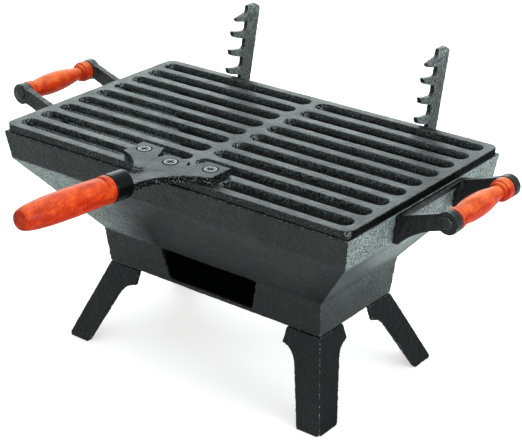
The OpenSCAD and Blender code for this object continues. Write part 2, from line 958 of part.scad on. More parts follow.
firebox();
charcoal_grate();
cooking_grate();
handle_plate();
handle_plate_screws();
handle_ferrule();
front_grip();
left_bracket();
right_bracket();
left_bracket_screws();
right_bracket_screws();
left_rod();
right_rod();
left_grip();
right_grip();
leg_front_left();
leg_front_right();
leg_back_left();
leg_back_right();
leg_bolts();
leg_nuts();
rack_left();
rack_right();
rack_bolts();
rack_nuts();
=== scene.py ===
import json
import math
import bmesh
import bpy
from mathutils import Matrix, Vector, noise


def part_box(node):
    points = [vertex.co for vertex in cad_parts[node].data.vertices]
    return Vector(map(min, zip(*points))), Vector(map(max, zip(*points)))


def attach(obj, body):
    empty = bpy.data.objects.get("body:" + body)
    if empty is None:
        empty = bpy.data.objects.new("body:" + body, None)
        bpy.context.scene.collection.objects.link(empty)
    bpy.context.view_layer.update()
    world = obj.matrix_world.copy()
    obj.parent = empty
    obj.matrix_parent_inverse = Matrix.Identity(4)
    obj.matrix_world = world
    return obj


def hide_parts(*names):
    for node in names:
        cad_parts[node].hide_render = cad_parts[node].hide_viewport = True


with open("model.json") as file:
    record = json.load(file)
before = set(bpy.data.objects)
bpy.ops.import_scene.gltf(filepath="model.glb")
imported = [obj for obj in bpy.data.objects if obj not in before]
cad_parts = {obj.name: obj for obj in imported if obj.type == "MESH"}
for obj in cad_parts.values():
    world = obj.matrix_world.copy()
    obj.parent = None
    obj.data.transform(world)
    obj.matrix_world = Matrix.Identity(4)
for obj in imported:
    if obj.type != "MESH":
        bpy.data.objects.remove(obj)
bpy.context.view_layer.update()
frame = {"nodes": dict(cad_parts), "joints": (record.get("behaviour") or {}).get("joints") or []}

nodes = frame["nodes"]
scene = bpy.context.scene

# ---------------------------------------------------------------- places taken from the frame
box_lo, box_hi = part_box("firebox")
centre_y = (box_lo.y + box_hi.y) / 2
grate_lo, grate_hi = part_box("cooking_grate")
rack_lo, rack_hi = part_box("rack_right")
PLATE_THICK = 0.008
plate_top = grate_hi.z + PLATE_THICK

# the fire box's front face at its very bottom, where the draught opening is
BOTTOM_BAND = 0.002
front_wall_y = min(v.co.y for v in nodes["firebox"].data.vertices if v.co.z < box_lo.z + BOTTOM_BAND)

# the front handle's axis: it starts at the ferrule's inner end and rises away from the grate
HANDLE_TILT = math.radians(4.0)
HANDLE_DIR = Vector((0, -math.cos(HANDLE_TILT), math.sin(HANDLE_TILT)))
HANDLE_START = Vector((0, centre_y - 0.1825, 0.2498))
FERRULE_LENGTH = 0.02205


# ---------------------------------------------------------------- material kit
class Shader:
    """A Principled material and short calls that add nodes to it."""

    def __init__(self, name):
        self.mat = bpy.data.materials.new(name)
        self.mat.use_nodes = True
        self.tree = self.mat.node_tree
        self.bsdf = self.tree.nodes["Principled BSDF"]
        self.coord = self.add("ShaderNodeTexCoord").outputs["Object"]

    def add(self, kind, **values):
        """Adds a node and sets its properties."""
        node = self.tree.nodes.new(kind)
        for key, value in values.items():
            setattr(node, key, value)
        return node

    def link(self, a, b):
        self.tree.links.new(a, b)

    def put(self, socket, value):
        """Sets an input to a number, a colour or another node's output."""
        if isinstance(value, bpy.types.NodeSocket):
            self.link(value, socket)
        elif isinstance(value, tuple) and len(value) == 3 and socket.type == "RGBA":
            socket.default_value = (*value, 1)
        else:
            socket.default_value = value

    def set(self, **values):
        """Sets the Principled node's inputs, with _ for the spaces in their names."""
        for key, value in values.items():
            self.put(self.bsdf.inputs[key.replace("_", " ")], value)

    def stretch(self, scale, offset=(0, 0, 0)):
        """The part's own coordinates, scaled and shifted."""
        node = self.add("ShaderNodeMapping")
        self.link(self.coord, node.inputs["Vector"])
        node.inputs["Scale"].default_value = scale
        node.inputs["Location"].default_value = offset
        return node.outputs["Vector"]

    def noise(self, scale, detail=3.0, rough=0.5, vector=None, distort=0.0):
        """Cloudy noise from 0 to 1; scale is in features per metre."""
        node = self.add("ShaderNodeTexNoise")
        self.link(vector or self.coord, node.inputs["Vector"])
        node.inputs["Scale"].default_value = scale
        node.inputs["Detail"].default_value = detail
        node.inputs["Roughness"].default_value = rough
        node.inputs["Distortion"].default_value = distort
        return node.outputs["Fac"]

    def cells(self, scale):
        """Distance to the nearest of many scattered points, for pits."""
        node = self.add("ShaderNodeTexVoronoi")
        self.link(self.coord, node.inputs["Vector"])
        node.inputs["Scale"].default_value = scale
        return node.outputs["Distance"]

    def math(self, op, a, b=0.0, clamp=False):
        """One arithmetic step on numbers or node outputs."""
        node = self.add("ShaderNodeMath", operation=op, use_clamp=clamp)
        self.put(node.inputs[0], a)
        self.put(node.inputs[1], b)
        return node.outputs[0]

    def times(self, *factors):
        """The product of any number of values."""
        total = factors[0]
        for factor in factors[1:]:
            total = self.math("MULTIPLY", total, factor)
        return total

    def span(self, value, low, high, to_low=0.0, to_high=1.0):
        """Maps low..high to to_low..to_high, held level outside them."""
        node = self.add("ShaderNodeMapRange")
        self.put(node.inputs["Value"], value)
        node.inputs["From Min"].default_value = low
        node.inputs["From Max"].default_value = high
        node.inputs["To Min"].default_value = to_low
        node.inputs["To Max"].default_value = to_high
        return node.outputs["Result"]

    def mix(self, factor, a, b):
        """Colour a where factor is 0, and colour b where it is 1."""
        colour_a, colour_b, colour_out = 6, 7, 2
        node = self.add("ShaderNodeMix", data_type="RGBA")
        self.put(node.inputs["Factor"], factor)
        self.put(node.inputs[colour_a], a)
        self.put(node.inputs[colour_b], b)
        return node.outputs[colour_out]

    def bump(self, height, distance, strength=1.0, normal=None):
        """A normal bent by a height field, on top of another normal if one is given."""
        node = self.add("ShaderNodeBump")
        self.put(node.inputs["Height"], height)
        self.put(node.inputs["Distance"], distance)
        self.put(node.inputs["Strength"], strength)
        if normal is not None:
            self.link(normal, node.inputs["Normal"])
        return node.outputs["Normal"]

    def split(self, vector):
        """A vector's X, Y and Z."""
        node = self.add("ShaderNodeSeparateXYZ")
        self.link(vector, node.inputs[0])
        return node.outputs

    def facing(self):
        """X, Y and Z of the smooth surface normal."""
        return self.split(self.add("ShaderNodeNewGeometry").outputs["Normal"])

    def place(self):
        """X, Y and Z of the point in the part's own frame."""
        return self.split(self.coord)

    def near(self, centre, radius, soft):
        """1 inside a ball about a point of the part's frame, 0 outside it."""
        node = self.add("ShaderNodeVectorMath", operation="DISTANCE")
        self.link(self.coord, node.inputs[0])
        node.inputs[1].default_value = centre
        return self.span(node.outputs["Value"], radius + soft, radius - soft)

    def edges(self, low, high):
        """1 on worn convex edges."""
        return self.span(self.add("ShaderNodeNewGeometry").outputs["Pointiness"], low, high)


# ---------------------------------------------------------------- cast iron
# tones are linear reflectances, scales are in features per metre, and depths are in metres
PAINT_TINT = (0.90, 1.0, 0.97)
SHADOW_TONE, HOLLOW_SHADE_TONE, SCAR_AND_SHADE_TONE = 0.0015, 0.002, 0.0012
DUST_AND_HIGHLIGHT_TONE, GLINT_TONE, BARE_TONE = 0.36, 0.34, 0.70
SAND_SCALE, FINE_SCALE, PIT_SCALE, LUMP_SCALE = 680, 1150, 330, 150
BLOTCH_SCALE, DRIFT_SCALE, GLOSS_SCALE, CLOUD_SCALE = 22, 9, 48, 60
FLOCK_SCALE, WEAR_SCALE, SCAR_SCALE, FLAKE_SCALE, SLOT_SCALE = 85, 330, 300, 210, 420
SAND_DEPTH, FINE_DEPTH, PIT_DEPTH, LUMP_DEPTH = 0.0007, 0.0002, 0.00045, 0.0005


def grey(value):
    """A tone of the paint, faintly green."""
    return tuple(value * t for t in PAINT_TINT)


def cast_grain(s, sand, grain, coarse):
    """Bump of a sand casting, from lumps down to fine sand; coarse is the strength of its pits and sand."""
    normal = s.bump(s.noise(LUMP_SCALE, 3, 0.5), LUMP_DEPTH * grain, 0.5)
    normal = s.bump(s.cells(PIT_SCALE), PIT_DEPTH * grain, coarse, normal)
    normal = s.bump(sand, SAND_DEPTH * grain, coarse, normal)
    return s.bump(s.noise(FINE_SCALE, 3, 0.6), FINE_DEPTH * grain, 0.6, normal)


def cast_metal(name, dark, light, rough, sheen, grain, glint_top, glint_wall, wear,
               wall=1.0, side=1.0, dust_and_highlight=None, patch=None):
    """Painted sand casting.

    dark and light are the paint's tones, and sheen is its specular level. wall scales both on upright faces,
    and side on faces that look along X, as painted shade on those faces. grain is the strength of the bump,
    and wear how bare the edges are.
    The two glints set how bright the painted glints on the grains show on level and upright faces. The bloom
    function adds a pale bloom, partly dust and partly painted highlight. patch adds a black mark: on the
    plate a scar and rings round the screw heads, on the fire box painted shade inside the draught opening.
    """
    s = Shader(name)
    face = s.facing()
    sand = s.noise(SAND_SCALE, 3, 0.6)
    steep = s.math("SUBTRACT", 1.0, s.math("ABSOLUTE", face["Z"]), clamp=True)
    upright = s.span(steep, 0.15, 0.7)
    sideways = s.span(s.math("ABSOLUTE", face["X"]), 0.6, 0.9, 1.0, side)
    shade = s.math("MULTIPLY", s.span(upright, 0.0, 1.0, 1.0, wall), sideways)

    # paint in blotches, with painted shade on the walls and sideways faces, and a pale bloom over it that is
    # partly dust and partly painted highlight
    tone = s.mix(s.span(s.noise(BLOTCH_SCALE, 5, 0.62), 0.32, 0.68), grey(dark), grey(light))
    tone = s.mix(s.math("SUBTRACT", 1.0, shade), tone, grey(SHADOW_TONE))
    if dust_and_highlight is not None:
        clouds = s.span(s.noise(CLOUD_SCALE, 5, 0.7), 0.30, 0.62, 0.45, 1.0)
        cover = s.times(dust_and_highlight(s, face), clouds, s.span(sand, 0.40, 0.58, 0.25, 1.0))
        tone = s.mix(cover, tone, grey(DUST_AND_HIGHLIGHT_TONE))

    # painted shade in the hollows of the sand bump, painted glints on its raised grains, and bare edges
    hollow_shade = s.math("SUBTRACT", 1.0, s.span(sand, 0.42, 0.56, 0.35, 1.0))
    tone = s.mix(hollow_shade, tone, grey(HOLLOW_SHADE_TONE))
    flocks = s.span(s.noise(FLOCK_SCALE, 3), 0.35, 0.6, 0.3, 1.0)
    glint = s.span(upright, 0.0, 1.0, glint_top, glint_wall)
    glints = s.times(s.span(sand, 0.565, 0.62), flocks, sideways, glint)
    tone = s.mix(glints, tone, grey(GLINT_TONE))
    worn = s.times(s.edges(0.525, 0.58), s.span(s.noise(WEAR_SCALE, 3), 0.50, 0.62), wear)
    tone = s.mix(worn, tone, grey(BARE_TONE))
    # the black mark: on the fire box painted shade inside the draught opening, on the plate a scar and rings;
    # it also takes away the reflection there
    if patch is not None:
        black_mark = patch(s)
        tone = s.mix(black_mark, tone, grey(SCAR_AND_SHADE_TONE))
        shade = s.math("MULTIPLY", shade, s.span(black_mark, 0.0, 1.0, 1.0, 0.04))

    drift = s.span(s.noise(DRIFT_SCALE, 3, 0.55, s.stretch((1, 1, 0.5))), 0.30, 0.70, 0.78, 1.18)
    gloss = s.span(s.noise(GLOSS_SCALE, 4, 0.6), 0.3, 0.7, rough - 0.06, rough + 0.10)
    s.set(Base_Color=tone, Specular_IOR_Level=s.times(shade, drift, sheen), Roughness=gloss)
    s.set(Normal=cast_grain(s, sand, grain, s.span(upright, 0.0, 1.0, 0.45, 1.0)))
    return s.mat


def box_dust_and_highlight(s, face):
    """Pale bloom, partly dust and partly painted highlight: on both end walls, paler higher up and further
    back, and on the left end of the front slope.
    """
    waist_z, flare_z, upper_band_z, soft = 0.110, 0.180, 0.200, 0.005
    slope_right_x, slope_left_x = -0.060, -0.150
    place = s.place()
    ends = s.span(s.math("ABSOLUTE", face["X"]), 0.35, 0.75)
    high = s.span(place["Z"], waist_z, flare_z, 0.08, 1.0)
    far = s.span(place["Y"], box_lo.y + 0.03, centre_y + 0.01, 0.12, 1.0)
    far = s.math("MAXIMUM", far, s.span(place["Z"], upper_band_z - soft, upper_band_z + soft))
    slope = s.times(s.span(face["Z"], -0.25, -0.5), s.span(place["X"], slope_right_x, slope_left_x), 1.5)
    return s.math("MAXIMUM", s.times(ends, high, far, 1.25), slope)


def side_dust_and_highlight(s, face):
    """Pale bloom on the sides of a rack, partly dust and partly painted highlight: strong on the teeth and
    the top, weak on the bar, and growing towards the top.
    """
    bar_lean, bar_foot_y = 0.19, centre_y + 0.1315
    place = s.place()
    height = s.span(place["Z"], rack_lo.z + 0.03, rack_hi.z, 0.10, 0.55)
    top = s.span(place["Z"], rack_hi.z - 0.016, rack_hi.z - 0.006, 0.0, 1.1)
    height = s.math("MAXIMUM", height, top)
    bar_front = s.math("MULTIPLY", s.math("SUBTRACT", place["Z"], rack_lo.z), bar_lean)
    ahead = s.math("SUBTRACT", place["Y"], s.math("ADD", bar_front, bar_foot_y))
    teeth = s.span(ahead, 0.003, -0.002, 0.0, 0.50)
    flakes = s.span(s.noise(FLAKE_SCALE, 4, 0.6), 0.40, 0.62, 0.35, 1.5)
    return s.times(s.span(s.math("ABSOLUTE", face["X"]), 0.5, 0.9), s.math("MAXIMUM", height, teeth), flakes)


def slot_painted_light(s, face):
    """Painted highlights: bright glints on the right-looking ends of the slots, and painted light on their
    long walls, paler at the top and darker towards the bottom.
    """
    rim_x = grate_hi.x - 0.0025
    place = s.place()
    inside = s.span(s.math("ABSOLUTE", place["X"]), rim_x + 0.001, rim_x - 0.001)
    end_glints = s.span(s.noise(SLOT_SCALE, 2), 0.46, 0.52)
    ends = s.times(s.span(face["X"], 0.3, 0.8), inside, end_glints, 1.6)
    depth = s.span(place["Z"], grate_lo.z, grate_hi.z - 0.001, 0.05, 0.56)
    behind = s.span(place["Y"], grate_lo.y + 0.003, grate_lo.y + 0.005)
    walls = s.times(s.span(face["Y"], -0.5, -0.85), behind, depth)
    return s.math("MAXIMUM", ends, walls)


# the three plate screws' axes: their vertices fall apart into a left, a middle and a right group
SCREW_DIVIDE, SCREW_REACH = 0.02, 0.1
HEAD_RIM, RING_RADIUS = 0.0050, 0.0083
screw_spots = []
for low, high in ((-SCREW_REACH, -SCREW_DIVIDE), (-SCREW_DIVIDE, SCREW_DIVIDE), (SCREW_DIVIDE, SCREW_REACH)):
    group = [v.co for v in nodes["handle_plate_screws"].data.vertices if low < v.co.x < high]
    lowest = Vector([min(c[i] for c in group) for i in range(2)])
    highest = Vector([max(c[i] for c in group) for i in range(2)])
    screw_spots.append((lowest + highest) / 2)


def from_screws(s):
    """Level distance from the nearest plate screw's axis."""
    place = s.place()
    nearest = None
    for spot in screw_spots:
        dx = s.math("SUBTRACT", place["X"], spot.x)
        dy = s.math("SUBTRACT", place["Y"], spot.y)
        away = s.math("SQRT", s.math("ADD", s.math("MULTIPLY", dx, dx), s.math("MULTIPLY", dy, dy)))
        nearest = away if nearest is None else s.math("MINIMUM", nearest, away)
    return nearest


def plate_marks(s):
    """Black rings round the screw heads, and a dark rough scar beside the ferrule."""
    spot = (HANDLE_START.x - 0.013, HANDLE_START.y + 0.029, plate_top - 0.002)
    scar_radius, scar_soft, ring_soft = 0.0105, 0.0030, 0.0005
    black_mark = s.times(s.near(spot, scar_radius, scar_soft), s.span(s.noise(SCAR_SCALE, 3), 0.37, 0.47))
    rings = s.span(from_screws(s), RING_RADIUS + ring_soft, RING_RADIUS - ring_soft)
    return s.math("MAXIMUM", black_mark, rings)


def vent_painted_shade(s):
    """Painted shade: black over the inside seen through the draught opening."""
    half_x, back_y, top_z, soft = 0.100, 0.120, 0.145, 0.005
    skin_y = front_wall_y + 0.0022
    place = s.place()
    wide = s.span(s.math("ABSOLUTE", place["X"]), half_x + soft, half_x - soft)
    behind_wall = s.span(place["Y"], skin_y, skin_y + 0.0015)
    before_back = s.span(place["Y"], back_y + soft, back_y)
    return s.times(wide, behind_wall, before_back, s.span(place["Z"], top_z + soft, top_z - soft))


# ---------------------------------------------------------------- wood and steel
WOOD_DEEP, WOOD_MID, WOOD_PALE = (0.40, 0.014, 0.001), (0.62, 0.034, 0.003), (0.78, 0.085, 0.009)
WOOD_STAIN, WOOD_FIBRE, WOOD_GROOVE_SHADE = (0.24, 0.007, 0.001), (0.20, 0.006, 0.001), (0.16, 0.010, 0.003)
WOOD_FLECK, WOOD_HIGHLIGHT = (0.85, 0.22, 0.07), (0.94, 0.27, 0.09)
FIBRE_SCALE, BAND_SCALE, BLOT_SCALE, FLECK_SCALE = 900, 170, 120, 420
DULL_SCALE, SCRATCH_SCALE = 420, 1400


def lacquered_wood(name, seed, upper_highlight):
    """Orange-red lacquer over turned wood, its grain along Y, with a painted highlight on the side that faces
    up.
    """
    s = Shader(name)
    shift = (seed, seed * 0.7, seed * 1.3)
    grain_at = s.stretch((1, 0.08, 1), shift)
    fibre = s.noise(FIBRE_SCALE, 4, 0.6, grain_at, 0.3)
    bands = s.noise(BAND_SCALE, 3, 0.55, grain_at, 0.6)
    blots = s.noise(BLOT_SCALE, 4, 0.65, s.stretch((1, 0.6, 1), shift))
    flecks = s.noise(FLECK_SCALE, 3, 0.6)
    tone = s.mix(s.span(bands, 0.35, 0.65), WOOD_DEEP, WOOD_MID)
    tone = s.mix(s.span(blots, 0.50, 0.66, 0.0, 0.75), tone, WOOD_PALE)
    tone = s.mix(s.span(blots, 0.44, 0.30, 0.0, 0.6), tone, WOOD_STAIN)
    tone = s.mix(s.span(fibre, 0.55, 0.75, 0.0, 0.40), tone, WOOD_FIBRE)
    tone = s.mix(s.span(flecks, 0.64, 0.72, 0.0, 0.40), tone, WOOD_FLECK)
    # painted highlight: the side that faces up is made paler, as if lit from above
    top = s.times(s.span(s.facing()["Z"], 0.25, 0.95), s.span(blots, 0.30, 0.60, 0.4, 1.2), upper_highlight)
    tone = s.mix(top, tone, WOOD_HIGHLIGHT)
    # painted shade in the grooves, where the surface curves inwards
    tone = s.mix(s.times(s.edges(0.50, 0.455), 0.75), tone, WOOD_GROOVE_SHADE)
    s.set(Base_Color=tone, Roughness=s.span(blots, 0.3, 0.7, 0.34, 0.52))
    s.set(Specular_IOR_Level=0.06, Coat_Weight=0.15, Coat_Roughness=0.10, Coat_IOR=1.45)
    normal = s.bump(fibre, 0.00012, 0.5)
    normal = s.bump(flecks, 0.00025, 0.5, normal)
    normal = s.bump(blots, 0.0007, 0.6, normal)
    s.set(Normal=normal, Coat_Normal=s.bump(blots, 0.0006, 0.7))
    return s.mat


def plated_steel(name, tone, rough, metallic=1.0, screw_rim_highlights=False):
    """Bare steel with dull blotches; with the rim flag set, each plate screw gets a painted highlight round
    the rim of its head, and a darker middle.
    """
    s = Shader(name)
    dull = s.noise(DULL_SCALE, 4, 0.6)
    scratch = s.noise(SCRATCH_SCALE, 2, 0.5, s.stretch((1, 0.15, 1)))
    face = s.mix(s.span(dull, 0.38, 0.62), grey(tone), grey(tone * 0.40))
    if screw_rim_highlights:
        # painted highlight round the rim of each screw's head
        rim_soft, rim_highlight_tone = 0.0003, 0.17
        rim_highlight = s.span(from_screws(s), HEAD_RIM - rim_soft, HEAD_RIM + rim_soft)
        face = s.mix(rim_highlight, face, grey(rim_highlight_tone))
    s.set(Base_Color=face)
    s.set(Metallic=metallic, Roughness=s.span(dull, 0.3, 0.7, rough - 0.08, rough + 0.12))
    normal = s.bump(dull, 0.0003, 0.5)
    s.set(Normal=s.bump(scratch, 0.0001, 0.4, normal))
    return s.mat


# wall and side give painted shade on upright faces and on faces that look along X; the glints are painted
# highlights
mat_box = cast_metal("box_paint", dark=0.005, light=0.011, rough=0.40, sheen=0.34, grain=0.55,
                     glint_top=0.0, glint_wall=0.10, wear=0.35, dust_and_highlight=box_dust_and_highlight, patch=vent_painted_shade)
mat_grate = cast_metal("grate_iron", dark=0.012, light=0.021, rough=0.40, sheen=0.36, grain=0.9,
                       glint_top=0.10, glint_wall=0.42, wear=0.25, wall=0.6, side=0.07, dust_and_highlight=slot_painted_light)
mat_plate = cast_metal("plate_iron", dark=0.010, light=0.018, rough=0.42, sheen=0.30, grain=1.0,
                       glint_top=0.08, glint_wall=0.9, wear=0.35, wall=0.25, side=0.5, patch=plate_marks)
mat_leg = cast_metal("leg_paint", dark=0.0035, light=0.007, rough=0.38, sheen=0.30, grain=0.6,
                     glint_top=0.05, glint_wall=0.08, wear=1.0, side=0.35)
mat_bracket = cast_metal("bracket_paint", dark=0.004, light=0.008, rough=0.34, sheen=0.36, grain=0.5,
                         glint_top=0.05, glint_wall=0.05, wear=0.45, wall=0.9, side=0.6)
# the left bracket gets a paler copy of the bracket paint, with brighter glints on its tops: painted light
mat_left_bracket_lit = cast_metal("left_bracket_lit_paint", dark=0.014, light=0.034, rough=0.34, sheen=0.50,
                              grain=0.8, glint_top=0.40, glint_wall=0.20, wear=0.9, wall=0.6)
mat_rack = cast_metal("rack_paint", dark=0.010, light=0.022, rough=0.36, sheen=0.40, grain=1.1,
                      glint_top=0.5, glint_wall=0.25, wear=0.8, wall=0.8, dust_and_highlight=side_dust_and_highlight)
mat_coal = cast_metal("coal_iron", dark=0.055, light=0.110, rough=0.62, sheen=0.40, grain=1.3,
                      glint_top=0.25, glint_wall=0.25, wear=0.2, wall=0.7)
mat_gloss = cast_metal("ferrule_black", dark=0.0015, light=0.003, rough=0.20, sheen=0.14, grain=0.10,
                       glint_top=0.0, glint_wall=0.0, wear=0.15)
mat_rod = cast_metal("rod_black", dark=0.004, light=0.009, rough=0.34, sheen=0.4, grain=0.4,
                     glint_top=0.05, glint_wall=0.05, wear=0.3)
mat_screw = plated_steel("screw_steel", tone=0.075, rough=0.38, screw_rim_highlights=True)
mat_dark_steel = plated_steel("dark_steel", tone=0.05, rough=0.42, metallic=0.7)
mat_wood_front = lacquered_wood("grip_wood_front", seed=0.0, upper_highlight=0.17)
mat_wood_side = lacquered_wood("grip_wood_side", seed=3.1, upper_highlight=0.42)


def paint(obj, mat):
    """Gives an object one material."""
    obj.data.materials.clear()
    obj.data.materials.append(mat)


# ---------------------------------------------------------------- cast skins on the CAD nodes
# the lowest a skin may reach, just above the ground
GROUND = 0.00005


def rough_walls(name, grain, depth, top_share):
    """Geometry nodes that press a sand-cast texture into upright faces, and less into level ones.

    grain is the texture's size, depth how far it goes in, and top_share how much of that level faces get.
    Nothing is let below the ground, so the feet stay flat.
    """
    tree = bpy.data.node_groups.new(name, "GeometryNodeTree")
    tree.interface.new_socket("Geometry", in_out="INPUT", socket_type="NodeSocketGeometry")
    tree.interface.new_socket("Geometry", in_out="OUTPUT", socket_type="NodeSocketGeometry")
    join = tree.links.new

    def add(kind, operation=None):
        node = tree.nodes.new(kind)
        if operation:
            node.operation = operation
        return node

    def span(value, low, high, to_low, to_high):
        node = add("ShaderNodeMapRange")
        join(value, node.inputs["Value"])
        for key, number in (("From Min", low), ("From Max", high), ("To Min", to_low), ("To Max", to_high)):
            node.inputs[key].default_value = number
        return node.outputs["Result"]

    # how far each point goes in
    normal = add("GeometryNodeInputNormal")
    split = add("ShaderNodeSeparateXYZ")
    join(normal.outputs[0], split.inputs[0])
    level = add("ShaderNodeMath", "ABSOLUTE")
    join(split.outputs["Z"], level.inputs[0])
    sand = add("ShaderNodeTexNoise")
    sand.inputs["Scale"].default_value = 1 / grain
    sand.inputs["Detail"].default_value = 2.0
    amount = add("ShaderNodeMath", "MULTIPLY")
    join(span(level.outputs[0], 0.35, 0.9, 1.0, top_share), amount.inputs[0])
    join(span(sand.outputs["Fac"], 0.33, 0.67, -depth, 0.0), amount.inputs[1])
    push = add("ShaderNodeVectorMath", "SCALE")
    join(normal.outputs[0], push.inputs[0])
    join(amount.outputs[0], push.inputs["Scale"])

    # where it ends up, never below the ground
    moved = add("ShaderNodeVectorMath", "ADD")
    join(add("GeometryNodeInputPosition").outputs[0], moved.inputs[0])
    join(push.outputs[0], moved.inputs[1])
    parts = add("ShaderNodeSeparateXYZ")
    join(moved.outputs[0], parts.inputs[0])
    above = add("ShaderNodeMath", "MAXIMUM")
    join(parts.outputs["Z"], above.inputs[0])
    above.inputs[1].default_value = GROUND
    whole = add("ShaderNodeCombineXYZ")
    join(parts.outputs["X"], whole.inputs["X"])
    join(parts.outputs["Y"], whole.inputs["Y"])
    join(above.outputs[0], whole.inputs["Z"])
    move = add("GeometryNodeSetPosition")
    join(add("NodeGroupInput").outputs[0], move.inputs["Geometry"])
    join(whole.outputs[0], move.inputs["Position"])
    join(move.outputs[0], add("NodeGroupOutput").inputs[0])
    return tree


swell_clouds = bpy.data.textures.new("swell", "CLOUDS")
swell_clouds.noise_scale = 0.022
swell_clouds.noise_depth = 2
sand_fine = rough_walls("sand_fine", grain=0.0030, depth=0.0005, top_share=0.25)
sand_soft = rough_walls("sand_soft", grain=0.0045, depth=0.0004, top_share=0.5)
sand_smooth = rough_walls("sand_smooth", grain=0.0060, depth=0.0001, top_share=1.0)
sand_broken = rough_walls("sand_broken", grain=0.0036, depth=0.0014, top_share=0.12)

# above every value of the clouds, so that the swell only ever goes inwards
ALWAYS_INWARDS = 1.2


def cast_skin(name, voxel, relax, swell, sand):
    """Rounds a node's edges and gives it a casting's uneven skin, always inwards of the CAD.

    voxel and relax set how round the edges are, and swell how uneven the broad faces are.
    """
    obj = nodes[name]
    skin = obj.modifiers.new("skin", "REMESH")
    skin.mode = "VOXEL"
    skin.voxel_size = voxel
    skin.use_smooth_shade = True
    soft = obj.modifiers.new("soften", "SMOOTH")
    soft.factor = 0.5
    soft.iterations = relax
    wave = obj.modifiers.new("swell", "DISPLACE")
    wave.texture = swell_clouds
    wave.texture_coords = "LOCAL"
    wave.strength = swell
    wave.mid_level = ALWAYS_INWARDS
    grit = obj.modifiers.new("sand", "NODES")
    grit.node_group = sand


cast_skin("firebox", voxel=0.0013, relax=2, swell=0.0006, sand=sand_soft)
cast_skin("charcoal_grate", voxel=0.0016, relax=3, swell=0.0006, sand=sand_fine)
cast_skin("cooking_grate", voxel=0.0009, relax=1, swell=0.0004, sand=sand_fine)
cast_skin("handle_plate", voxel=0.0007, relax=1, swell=0.0003, sand=sand_broken)
cast_skin("handle_ferrule", voxel=0.0006, relax=2, swell=0.0001, sand=sand_smooth)
for side in ("left", "right"):
    cast_skin(side + "_bracket", voxel=0.0008, relax=4, swell=0.0003, sand=sand_soft)
    cast_skin("rack_" + side, voxel=0.0008, relax=4, swell=0.0004, sand=sand_fine)
    for end in ("front", "back"):
        cast_skin(f"leg_{end}_{side}", voxel=0.0009, relax=4, swell=0.0005, sand=sand_soft)


def ease_edges(name, width):
    """Takes the sharpness off a turned or hexagonal part's edges."""
    bevel = nodes[name].modifiers.new("ease", "BEVEL")
    bevel.width = width
    bevel.segments = 2
    bevel.limit_method = "ANGLE"
    bevel.angle_limit = math.radians(30)
    bevel.use_clamp_overlap = True


for name in ("handle_plate_screws", "leg_bolts", "leg_nuts", "rack_bolts", "rack_nuts",
             "left_bracket_screws", "right_bracket_screws", "left_rod", "right_rod"):
    ease_edges(name, width=0.0003)


# ---------------------------------------------------------------- turned wooden grips
MM = 0.001
CURVE_STEPS = 5
RING_SEGMENTS = 96
END_FADE = 0.003
SHARP_EDGE = math.radians(40)

# how many dips go round a grip, how many there are in each metre of it, and how much finer the small ones are
DIPS_ROUND, DIPS_ALONG, FINER = 1.6, 60, 3.1


def smooth_run(points):
    """Catmull-Rom curve through (distance, radius) points."""
    padded = [points[0]] + list(points) + [points[-1]]
    out = []
    for i in range(1, len(padded) - 2):
        p0, p1, p2, p3 = (Vector(p) for p in padded[i - 1:i + 3])
        for k in range(CURVE_STEPS):
            t = k / CURVE_STEPS
            out.append(0.5 * (2 * p1 + (p2 - p0) * t + (2 * p0 - 5 * p1 + 4 * p2 - p3) * t ** 2
                              + (3 * p1 - p0 - 3 * p2 + p3) * t ** 3))
    out.append(Vector(points[-1]))
    return out


def outline(*runs):
    """Joins (points, curved) runs given in millimetres into one outline in metres."""
    out = []
    for points, curved in runs:
        out += smooth_run(points) if curved else [Vector(p) for p in points]
    return [(p[0] * MM, p[1] * MM) for p in out]


